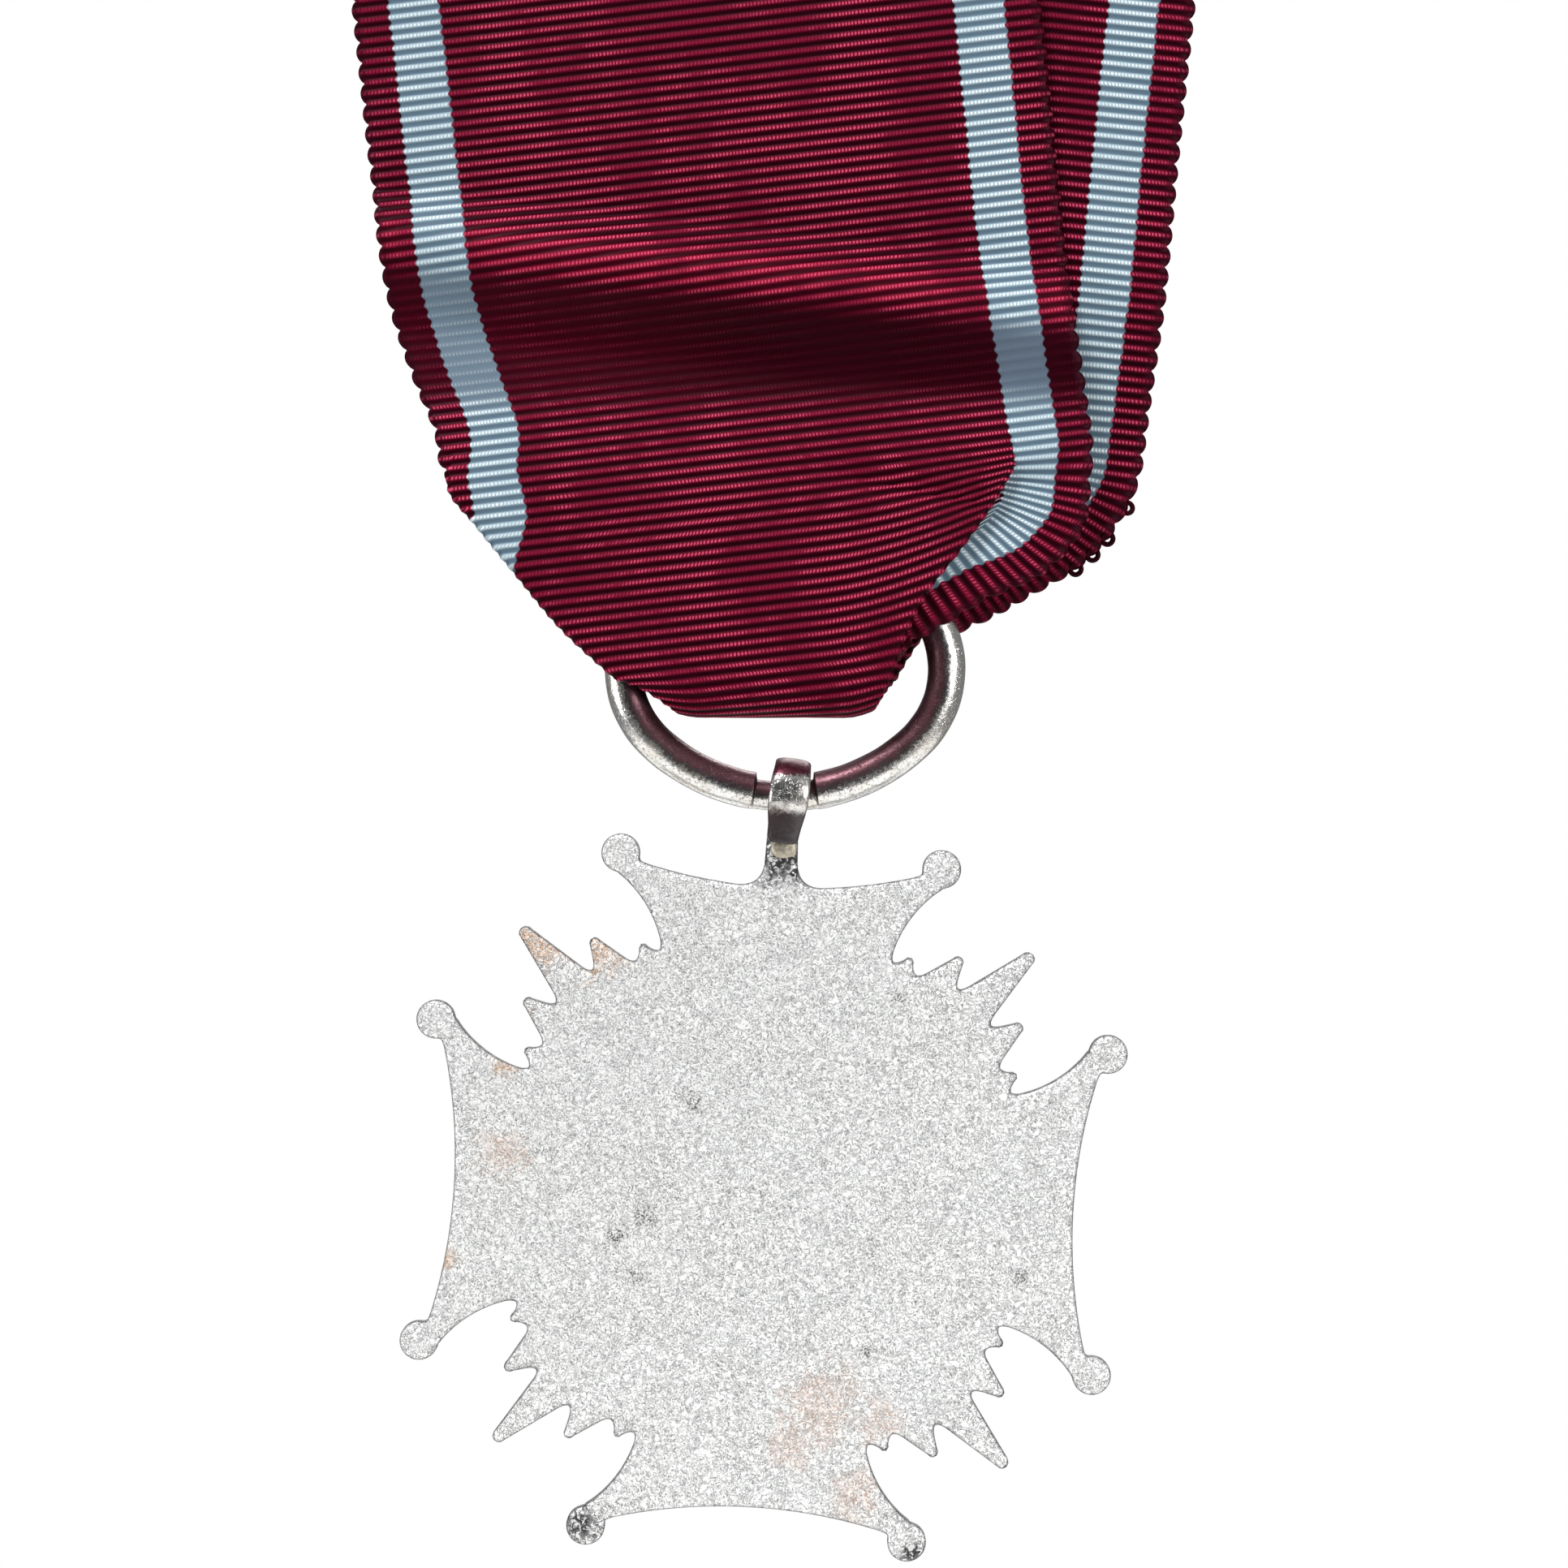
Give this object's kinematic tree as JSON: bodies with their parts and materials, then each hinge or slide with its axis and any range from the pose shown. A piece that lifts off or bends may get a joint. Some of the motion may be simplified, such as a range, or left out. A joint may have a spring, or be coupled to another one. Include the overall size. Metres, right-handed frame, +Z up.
{
  "type": "military service medal",
  "caption": "Silvered cross with enamelled arms, rays and ball tips, hung by an oval ring from a folded striped silk ribbon.",
  "frame": {"origin": "the place where the two ribbon tails are sewn together, midway between their flat sides", "axes": "+Z up the hanging ribbon, +Y out of the enamelled face, +X to the right seen from the plain back"},
  "size_m": [0.0556, 0.0048, 0.1223],
  "materials": {
    "ribbon_silk": "ribbed moire silk, claret with two pale blue stripes",
    "ring_silver": "silver-plated tombac wire, polished and worn",
    "cross_silver": "silver-plated tombac, grained back and bright edges",
    "emblem_silver": "silver-plated, polished",
    "solder": "dull solder",
    "red_enamel": "glossy translucent enamel",
    "white_enamel": "glossy opaque enamel"
  },
  "bodies": {
    "tails": {"ribbon_near_tail": "ribbon_silk", "ribbon_far_tail": "ribbon_silk"},
    "loop": {"ribbon_loop": "ribbon_silk"},
    "ring": {"suspension_ring": "ring_silver"},
    "cross": {"cross_body": "cross_silver", "eye_solder": "solder", "enamel_arm_top": "red_enamel", "enamel_arm_right": "red_enamel", "enamel_arm_bottom": "red_enamel", "enamel_arm_left": "red_enamel", "medallion_solder": "solder", "medallion_disc": "emblem_silver", "medallion_enamel_white": "white_enamel", "medallion_enamel_red": "red_enamel", "medallion_emblem": "emblem_silver"}
  },
  "joints": [
    {"name": "ribbon_bend", "type": "hinge", "parent": "tails", "child": "loop", "pos_m": [0, 0, -0.0512], "axis": [1, 0, 0], "range_deg": [-40, 40]},
    {"name": "ring_rock", "type": "hinge", "parent": "loop", "child": "ring", "pos_m": [0.0012, 0, -0.06845], "axis": [0, 1, 0], "range_deg": [-10, 10]},
    {"name": "cross_swing", "type": "hinge", "parent": "ring", "child": "cross", "pos_m": [0.0012, 0, -0.07557], "axis": [1, 0, 0], "range_deg": [-110, 110]}
  ]
}
